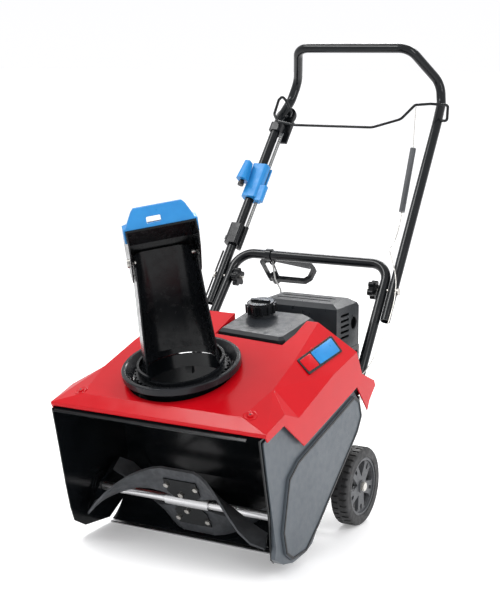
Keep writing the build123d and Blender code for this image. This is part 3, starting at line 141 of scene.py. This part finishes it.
class Surface:
    """A procedural material. Lengths inside it are metres, because every mesh lies in the row frame."""

    def __init__(self, name, colour, roughness, metallic=0.0, coat=0.0, edge=0.0, shine=0.5):
        self.material = bpy.data.materials.new(name)
        self.material.use_nodes = True
        tree = self.material.node_tree
        self.nodes, self.links = tree.nodes, tree.links
        self.shader = self.nodes["Principled BSDF"]
        self.coords = self.nodes.new("ShaderNodeTexCoord").outputs["Object"]
        self.base = colour
        self.normal = None
        self.colour = None
        self.shader.inputs["Base Color"].default_value = (*colour, 1)
        self.shader.inputs["Metallic"].default_value = metallic
        self.shader.inputs["Roughness"].default_value = roughness
        self.shader.inputs["Coat Weight"].default_value = coat
        self.shader.inputs["Coat Roughness"].default_value = COAT_ROUGHNESS
        self.shader.inputs["Specular IOR Level"].default_value = shine
        if edge:
            self.round_edges(edge)

    def node(self, kind, **values):
        made = self.nodes.new(kind)
        for key, value in values.items():
            setattr(made, key, value)
        return made

    def round_edges(self, radius):
        """Softens the look of sharp edges over this radius."""
        bevel = self.node("ShaderNodeBevel", samples=4)
        bevel.inputs["Radius"].default_value = radius
        self.normal = bevel.outputs["Normal"]
        self.links.new(self.normal, self.shader.inputs["Normal"])

    def noise(self, scale, detail=3.0, stretch=(1, 1, 1)):
        """A noise value; the larger the scale, the finer the pattern."""
        mapping = self.node("ShaderNodeMapping")
        mapping.inputs["Scale"].default_value = stretch
        self.links.new(self.coords, mapping.inputs["Vector"])
        texture = self.node("ShaderNodeTexNoise")
        texture.inputs["Scale"].default_value = scale
        texture.inputs["Detail"].default_value = detail
        self.links.new(mapping.outputs["Vector"], texture.inputs["Vector"])
        return texture.outputs["Fac"]

    def ramp(self, value, low, high, out_low=0.0, out_high=1.0):
        """Maps a value from one range to another and stops at its ends."""
        span = self.node("ShaderNodeMapRange")
        for key, number in (("From Min", low), ("From Max", high), ("To Min", out_low), ("To Max", out_high)):
            span.inputs[key].default_value = number
        self.links.new(value, span.inputs["Value"])
        return span.outputs["Result"]

    def tint(self, mask, colour):
        """Mixes another colour in where the mask is high."""
        mix = self.node("ShaderNodeMix", data_type="RGBA")
        self.links.new(mask, mix.inputs["Factor"])
        mix.inputs["A"].default_value = (*self.base, 1)
        if self.colour:
            self.links.new(self.colour, mix.inputs["A"])
        mix.inputs["B"].default_value = (*colour, 1)
        self.colour = mix.outputs["Result"]
        self.links.new(self.colour, self.shader.inputs["Base Color"])
        return self

    def vary(self, scale, colour, low=0.4, high=0.7, most=1.0, stretch=(1, 1, 1)):
        """Blotches of another colour, up to the share called most."""
        return self.tint(self.ramp(self.noise(scale, stretch=stretch), low, high, 0, most), colour)

    def gloss(self, scale, low, high, stretch=(1, 1, 1)):
        """A roughness that wanders between low and high."""
        spread = self.ramp(self.noise(scale, stretch=stretch), 0.3, 0.7, low, high)
        self.links.new(spread, self.shader.inputs["Roughness"])
        return self

    def relief(self, height, strength, distance=0.0005):
        """Bumps on top of those that are already there."""
        bump = self.node("ShaderNodeBump")
        bump.inputs["Strength"].default_value = strength
        bump.inputs["Distance"].default_value = distance
        self.links.new(height, bump.inputs["Height"])
        if self.normal:
            self.links.new(self.normal, bump.inputs["Normal"])
        self.normal = bump.outputs["Normal"]
        self.links.new(self.normal, self.shader.inputs["Normal"])
        return self

    def grain(self, scale, strength, detail=2.0, stretch=(1, 1, 1), distance=0.0005):
        return self.relief(self.noise(scale, detail, stretch), strength, distance)

    def dust(self, colour, amount):
        """Dust that has settled on faces that point up."""
        facing = self.node("ShaderNodeSeparateXYZ")
        self.links.new(self.node("ShaderNodeNewGeometry").outputs["Normal"], facing.inputs["Vector"])
        up = self.ramp(facing.outputs["Z"], 0.4, 1.0, 0, amount)
        both = self.node("ShaderNodeMath", operation="MULTIPLY")
        self.links.new(up, both.inputs[0])
        self.links.new(self.noise(60, 6), both.inputs[1])
        return self.tint(both.outputs["Value"], colour)


def shroud_red():
    red = Surface("red gloss plastic", (0.49, 0.0035, 0.0085), 0.2, coat=0.05, edge=0.0020, shine=0.16)
    red.vary(9, (0.43, 0.0025, 0.007), most=0.6)
    red.gloss(30, 0.17, 0.25)
    return red.grain(650, 0.03).material


def black_paint():
    black = Surface("black gloss paint", (0.0035, 0.0045, 0.0055), 0.16, coat=0.05, edge=0.0010, shine=0.22)
    black.vary(14, (0.007, 0.0085, 0.010), most=0.7)
    black.gloss(45, 0.13, 0.22)
    return black.grain(700, 0.035).material


def moulded(name, colour, lighter, roughness, grain=0.25, shine=0.3):
    """A moulded plastic with a fine grain and a little dust, still open to more changes."""
    plastic = Surface(name, colour, roughness, edge=0.0009, shine=shine)
    plastic.vary(11, lighter, most=0.6)
    plastic.gloss(70, roughness - 0.07, roughness + 0.10)
    plastic.grain(1500, grain)
    return plastic.dust(tuple(DUST_DARKEN * c + DUST_LIFT for c in colour), 0.2)


def grey_cover():
    """Grey satin plastic; the raised bead round the belt cover is black."""
    grey = moulded("grey moulded cover", (0.070, 0.083, 0.096), (0.086, 0.100, 0.114), 0.36, 0.2)
    spot = grey.node("ShaderNodeSeparateXYZ")
    grey.links.new(grey.coords, spot.inputs["Vector"])
    bead = grey.ramp(spot.outputs["X"], BEAD_X, BEAD_X + BEAD_BLEND)
    return grey.tint(bead, (0.006, 0.007, 0.008)).material


def rubber(name, colour, lighter):
    soft = Surface(name, colour, 0.62, edge=0.0008)
    soft.vary(35, lighter, most=0.8)
    soft.gloss(90, 0.5, 0.78)
    soft.grain(1100, 0.35, detail=4)
    return soft.dust((0.14, 0.135, 0.125), 0.35).material


def zinc():
    plated = Surface("zinc plate", (0.62, 0.60, 0.56), 0.3, metallic=1.0, edge=0.0006)
    plated.vary(220, (0.48, 0.47, 0.45), most=0.8)
    plated.gloss(160, 0.22, 0.42)
    return plated.grain(700, 0.08).material


def bright_steel():
    steel = Surface("worn bright steel", (0.66, 0.66, 0.67), 0.26, metallic=1.0, edge=0.0008)
    steel.vary(60, (0.42, 0.41, 0.40), most=0.7, stretch=(0.05, 1, 1))
    steel.gloss(260, 0.18, 0.42, stretch=(0.03, 1, 1))
    return steel.grain(900, 0.18, stretch=(0.02, 1, 1)).material


def cast_alloy():
    cast = Surface("cast alloy", (0.46, 0.47, 0.48), 0.5, metallic=0.85, edge=0.0008)
    cast.vary(40, (0.34, 0.34, 0.35), most=0.8)
    cast.gloss(80, 0.42, 0.65)
    return cast.grain(600, 0.6, detail=5).material


def rope_fibre():
    fibre = Surface("braided cord", (0.30, 0.30, 0.29), 0.85)
    for direction in (1, -1):
        wave = fibre.node("ShaderNodeTexWave", wave_type="BANDS", bands_direction="DIAGONAL")
        wave.inputs["Scale"].default_value = 260
        mapping = fibre.node("ShaderNodeMapping")
        mapping.inputs["Scale"].default_value = (direction, 1, 1)
        fibre.links.new(fibre.coords, mapping.inputs["Vector"])
        fibre.links.new(mapping.outputs["Vector"], wave.inputs["Vector"])
        fibre.tint(fibre.ramp(wave.outputs["Fac"], 0.5, 0.9, 0, 0.5), (0.12, 0.12, 0.12))
        fibre.relief(wave.outputs["Fac"], 0.6)
    return fibre.material


def blue_plastic():
    blue = Surface("blue plastic", (0.018, 0.20, 0.50), 0.3, edge=0.0012, shine=0.25)
    blue.vary(25, (0.026, 0.25, 0.58), most=0.6)
    blue.gloss(90, 0.26, 0.42)
    return blue.grain(1300, 0.15).material


PLASTICS = {            # name, colour, lighter colour, roughness, grain and shine
    "black_plastic": ("black plastic", (0.005, 0.0058, 0.0068), (0.010, 0.011, 0.013), 0.22, 0.05, 0.2),
    "engine_black": ("engine cover plastic", (0.014, 0.016, 0.019), (0.022, 0.025, 0.029), 0.34, 0.2),
    "ring_grey": ("chute ring plastic", (0.010, 0.011, 0.013), (0.018, 0.019, 0.022), 0.2, 0.05, 0.2),
    "rim_grey": ("wheel plastic", (0.07, 0.073, 0.078), (0.09, 0.094, 0.10), 0.42, 0.25),
    "tank_white": ("tank plastic", (0.62, 0.61, 0.56), (0.55, 0.54, 0.5), 0.5, 0.15),
    "badge": ("badge film", (0.012, 0.012, 0.013), (0.02, 0.02, 0.022), 0.25, 0.05),
    "strip_white": ("rack plastic", (0.10, 0.105, 0.11), (0.14, 0.145, 0.15), 0.35, 0.1),
}
RUBBERS = {             # name, colour and lighter colour
    "rubber_black": ("black rubber", (0.014, 0.014, 0.014), (0.024, 0.024, 0.024)),
    "paddle_rubber": ("paddle rubber", (0.034, 0.037, 0.042), (0.060, 0.065, 0.072)),
    "tyre_rubber": ("tyre rubber", (0.014, 0.014, 0.015), (0.026, 0.026, 0.027)),
}


def finishes():
    """One material for each slot of the record."""
    made = {
        "shroud_red": shroud_red(),
        "black_paint": black_paint(),
        "grey_cover": grey_cover(),
        "zinc_steel": zinc(),
        "bright_steel": bright_steel(),
        "cast_alloy": cast_alloy(),
        "rope_cord": rope_fibre(),
        "blue_plastic": blue_plastic(),
    }
    made.update((slot_name, moulded(*look).material) for slot_name, look in PLASTICS.items())
    made.update((slot_name, rubber(*look)) for slot_name, look in RUBBERS.items())
    return made


def dress(materials):
    for entry in frame["record"]["subparts"]:
        node = frame["nodes"][entry["node"]]
        node.data.materials.clear()
        node.data.materials.append(materials[entry["material_slot"]])


# ---- mesh pieces -----------------------------------------------------------------------
def finished(name, mesh, slot_name, smooth=True):
    """Puts a mesh into the scene as a piece, with the material of its slot."""
    mesh.materials.clear()
    mesh.materials.append(FINISH[slot_name])
    for face in mesh.polygons:
        face.use_smooth = smooth
    piece = bpy.data.objects.new(name, mesh)
    bpy.context.scene.collection.objects.link(piece)
    return piece


def solid(name, vertices, faces, slot_name, smooth=True):
    """A piece made from vertices and faces."""
    mesh = bpy.data.meshes.new(name)
    mesh.from_pydata([tuple(v) for v in vertices], [], faces)
    return finished(name, mesh, slot_name, smooth)


def axes_of(normal, along):
    """Two unit vectors across a normal, the first as near to along as it can be."""
    normal = normal.normalized()
    first = (along - normal * along.dot(normal)).normalized()
    return first, normal.cross(first).normalized(), normal


def band(rows, steps):
    """Faces of a closed body whose vertices are rows of the same closed outline."""
    faces = []
    for row in range(rows - 1):
        for step in range(steps):
            a, b = row * steps + step, row * steps + (step + 1) % steps
            faces.append((a, b, b + steps, a + steps))
    faces.append(tuple(range(steps))[::-1])
    faces.append(tuple(range((rows - 1) * steps, rows * steps)))
    return faces


def turned(profile, centre, normal, steps):
    """Vertices and faces of a (radius, height) profile turned about a normal."""
    first, second, up = axes_of(normal, Vector((0.3, 1, 0.2)))
    vertices = []
    for radius, height in profile:
        for step in range(steps):
            angle = 2 * pi * step / steps
            vertices.append(centre + first * radius * cos(angle) + second * radius * sin(angle) + up * height)
    return vertices, band(len(profile), steps)


def joined(shapes):
    """The vertices and faces of several shapes as one."""
    vertices, faces = [], []
    for more, loops in shapes:
        base = len(vertices)
        vertices += more
        faces += [tuple(base + i for i in loop) for loop in loops]
    return vertices, faces


def slab(corners, normal, low, high, corner_r=0.004, edge=0.0008, steps=6):
    """A plate with rounded corners and a softened upper edge over a flat convex outline."""
    knee = 0.3 * edge       # the middle of the softened edge
    outline = []
    count = len(corners)
    for i, corner in enumerate(corners):
        before = (corners[i - 1] - corner).normalized()
        after = (corners[(i + 1) % count] - corner).normalized()
        for step in range(steps + 1):
            t = step / steps
            outline.append(corner + before * corner_r * (1 - t) ** 2 + after * corner_r * t**2)
    middle = sum(outline, Vector()) / len(outline)
    vertices = []
    rings = [(0.0, low), (0.0, high - edge), (knee, high - knee), (edge, high)]
    for inset, height in rings:
        for point in outline:
            inward = (middle - point).normalized() * inset
            vertices.append(point + inward + normal * height)
    return vertices, band(len(rings), len(outline))


def on_surface(node, point):
    """The nearest point of a CAD node's surface, and the outward normal there."""
    return frame["nodes"][node].closest_point_on_mesh(point)[1:3]


def tube(name, points, radius, slot_name):
    """A round cable along a smooth line through the points."""
    data = bpy.data.curves.new(name, "CURVE")
    data.dimensions = "3D"
    data.bevel_depth = radius
    data.bevel_resolution = 4
    data.resolution_u = 8
    data.use_fill_caps = True
    spline = data.splines.new("NURBS")
    spline.points.add(len(points) - 1)
    for control, point in zip(spline.points, points):
        control.co = (*point, 1)
    spline.order_u = 3
    spline.use_endpoint_u = True
    source = bpy.data.objects.new(name + " line", data)
    bpy.context.scene.collection.objects.link(source)
    bpy.context.view_layer.update()
    mesh = bpy.data.meshes.new_from_object(source.evaluated_get(bpy.context.evaluated_depsgraph_get()))
    bpy.data.objects.remove(source)
    return finished(name, mesh, slot_name)


# ---- cables ------------------------------------------------------------------------------
SHEATH_R = 0.0025
INNER_WIRE_R = 0.0014
BAIL_WIRE_R = 0.0012
BAIL_WIRE_ROUTE = [(0.930, 0.844, 0.180), (0.933, 0.893, 0.180), (0.938, 0.948, 0.182)]
BAIL_ROUTE = [
    (0.865, 0.689, 0.180), (0.836, 0.640, 0.184), (0.782, 0.616, 0.192), (0.731, 0.614, 0.206),
    (0.703, 0.590, 0.226), (0.685, 0.556, 0.246), (0.652, 0.512, 0.259), (0.618, 0.462, 0.259),
    (0.592, 0.420, 0.254), (0.562, 0.384, 0.248), (0.525, 0.356, 0.243), (0.484, 0.346, 0.240),
    (0.450, 0.320, 0.240),
]
CHUTE_ROUTE = [
    (0.725, 0.577, -0.2585), (0.707, 0.553, -0.2595), (0.703, 0.548, -0.260), (0.667, 0.504, -0.260),
    (0.632, 0.462, -0.260), (0.598, 0.428, -0.256), (0.566, 0.404, -0.245), (0.532, 0.390, -0.228),
    (0.494, 0.380, -0.204), (0.452, 0.376, -0.176), (0.408, 0.376, -0.148), (0.366, 0.380, -0.116),
    (0.328, 0.384, -0.082), (0.302, 0.385, -0.070), (0.276, 0.385, -0.070),
]
CABLES = (              # name, replaced node, route, radius, slot, heights where the bend starts and ends
    ("bail_inner_wire", "bail_cable", BAIL_ROUTE, INNER_WIRE_R, "zinc_steel", 0.40, 0.60),
    ("chute_cable_sheath", "chute_cable", CHUTE_ROUTE, SHEATH_R, "rubber_black", 0.40, 0.55),
)


def cables():
    """The two long cables, laid as fixed lines across the handle's fold."""
    for name, node, route, radius, slot_name, low, high in CABLES:
        piece = tube(name, [place(*spot) for spot in route], radius, slot_name)
        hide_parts(node)
        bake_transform(piece)


def bail_wire():
    """The wire from the control bail down to its cable."""
    spots = [place(*spot) for spot in BAIL_WIRE_ROUTE]
    piece = tube("bail_wire_strand", spots, BAIL_WIRE_R, "zinc_steel")
    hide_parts("bail_wire")
    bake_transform(piece)


ROPE_EYE = (0.741, 0.556, -0.122)
ROPE_BEND = (0.7493, 0.5581, -0.1271)
ROPE_KNOT = (0.753, 0.528, -0.116)
ROPE_R = 0.002
ROPE_STEPS = 60
ROPE_SIDES = 12


def rope_end():
    """The rope between its eye and the starter handle."""
    eye, bend, knot = place(*ROPE_EYE), place(*ROPE_BEND), place(*ROPE_KNOT)
    centres = []
    for step in range(ROPE_STEPS + 1):
        t = step / ROPE_STEPS
        centres.append(eye * (1 - t) ** 2 + bend * 2 * t * (1 - t) + knot * t**2)
    vertices = []
    for i, centre in enumerate(centres):
        ahead = (centres[min(i + 1, ROPE_STEPS)] - centres[max(i - 1, 0)]).normalized()
        first, second, _ = axes_of(ahead, Vector((1, 0, 0)))
        for side in range(ROPE_SIDES):
            angle = 2 * pi * side / ROPE_SIDES
            vertices.append(centre + (first * cos(angle) + second * sin(angle)) * ROPE_R)
    piece = solid("rope_end", vertices, band(len(centres), ROPE_SIDES), "rope_cord")
    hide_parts("rope_tail")
    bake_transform(piece)


# ---- chute control -----------------------------------------------------------------------
LEG_FOOT = (0.6307, 0.455, -0.2427)
LEG_HEAD = (0.9699, 0.904, -0.226)
BEAD_SPAN = (-0.330, -0.044)    # along the leg, from its head
BEAD_STEP = 0.0065
BEAD_SIDE = 0.0205              # inward from the leg's centre line
BEAD_BACK = 0.004
BEAD_PROFILE = [(0.0004, -0.0016), (0.0013, -0.0011), (0.0016, 0.0), (0.0013, 0.0011), (0.0004, 0.0016)]
BEAD_SIDES = 10


def rack_beads():
    """White beads along the chute control's strip, on the left leg of the upper handle."""
    foot, head = place(*LEG_FOOT), place(*LEG_HEAD)
    up = (head - foot).normalized()
    back = up.cross(Vector((1, 0, 0))).normalized()
    side = back.cross(up).normalized()
    beads = []
    travel = BEAD_SPAN[0]
    while travel < BEAD_SPAN[1]:
        middle = head + up * travel + side * BEAD_SIDE + back * BEAD_BACK
        beads.append(turned(BEAD_PROFILE, middle, up, BEAD_SIDES))
        travel += BEAD_STEP
    piece = solid("rack_beads", *joined(beads), "tank_white")
    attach(piece, "upper")


# ---- shroud ------------------------------------------------------------------------------
TANK_EDGE_X = (-0.0340, -0.0285)
TANK_EDGE_ENDS = ((0.2995, 0.4586), (0.3889, 0.4902))
TANK_EDGE_FOOT = 0.4460


def shroud_tank_edge():
    """The shroud's folded edge along the left side of the tank cover."""
    vertices = []
    for back, up in TANK_EDGE_ENDS:
        for height in (up, TANK_EDGE_FOOT):
            for x in TANK_EDGE_X:
                vertices.append(place(back, height, x))
    faces = [(0, 1, 5, 4), (2, 6, 7, 3), (0, 2, 3, 1), (4, 5, 7, 6), (0, 4, 6, 2), (1, 3, 7, 5)]
    piece = solid("shroud_tank_edge", vertices, faces, "shroud_red", smooth=False)
    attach(piece, "frame")


SCREW_SPOTS = ((0.034, 0.365, 0.212), (0.30, 0.455, 0.236))
DIMPLE_PROFILE = [(0.0150, -0.001), (0.0150, 0.0006), (0.0142, 0.0012), (0.0122, 0.0012), (0.0100, 0.0002)]
HEAD_PROFILE = [(0.0066, -0.001), (0.0066, 0.0020), (0.0056, 0.0030), (0.0036, 0.0032)]
# The socket is not cut as a hole. It is a thin black hexagon laid on the screw head: painted shade where the
# socket's hollow would be.
SOCKET_SHADE_PROFILE = [(0.0026, 0.003), (0.0026, 0.0034)]
SCREW_PIECES = (        # name, profile, sides, slot, smooth
    ("shroud_dimples", DIMPLE_PROFILE, 40, "shroud_red", True),
    ("shroud_screws", HEAD_PROFILE, 28, "shroud_red", True),
    ("shroud_socket_shades", SOCKET_SHADE_PROFILE, 6, "rubber_black", False),
)


def shroud_screws():
    """The shroud's four corner screws, each in a round moulded dimple; each socket is a thin black hexagon on
    the head, painted shade for the hole.
    """
    seats = []
    for sign in (1, -1):
        for back, up, x in SCREW_SPOTS:
            seats.append(on_surface("shroud", place(back, up, sign * x)))
    for name, profile, sides, slot_name, smooth in SCREW_PIECES:
        shapes = [turned(profile, spot, normal, sides) for spot, normal in seats]
        piece = solid(name, *joined(shapes), slot_name, smooth)
        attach(piece, "frame")


# ---- badge -------------------------------------------------------------------------------
RIDGE_START = (0.235, 0.43496, 0.208)
RIDGE_END = (0.560, 0.55196, 0.1625)
FLANK_FOOT = (0.307, 0.397, 0.267)
BLOCK_HEIGHTS = (0.0018, 0.0034)
BLOCKS = (              # name, slot, corners along and across the shroud's ridge
    ("badge_red_block", "shroud_red",
     ((0.006, -0.0085), (-0.0035, -0.0385), (0.038, -0.0505), (0.050, -0.0190))),
    ("badge_blue_block", "blue_plastic",
     ((0.054, -0.0200), (0.042, -0.0515), (0.125, -0.0745), (0.142, -0.0420))),
)


def badge_blocks():
    """Two plain raised blocks, one red and one blue, on the black plate in the flank."""
    start = place(*RIDGE_START)
    ridge = (place(*RIDGE_END) - start).normalized()
    normal = -ridge.cross(place(*FLANK_FOOT) - start).normalized()
    across = normal.cross(ridge).normalized()
    for name, slot_name, corners in BLOCKS:
        outline = [start + ridge * u + across * v for u, v in corners]
        piece = solid(name, *slab(outline, normal, *BLOCK_HEIGHTS), slot_name)
        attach(piece, "frame")


def build_details():
    rope_end()
    rack_beads()
    cables()
    bail_wire()
    shroud_tank_edge()
    shroud_screws()
    badge_blocks()


camera()
studio()
floor()
FINISH = finishes()
dress(FINISH)
build_details()
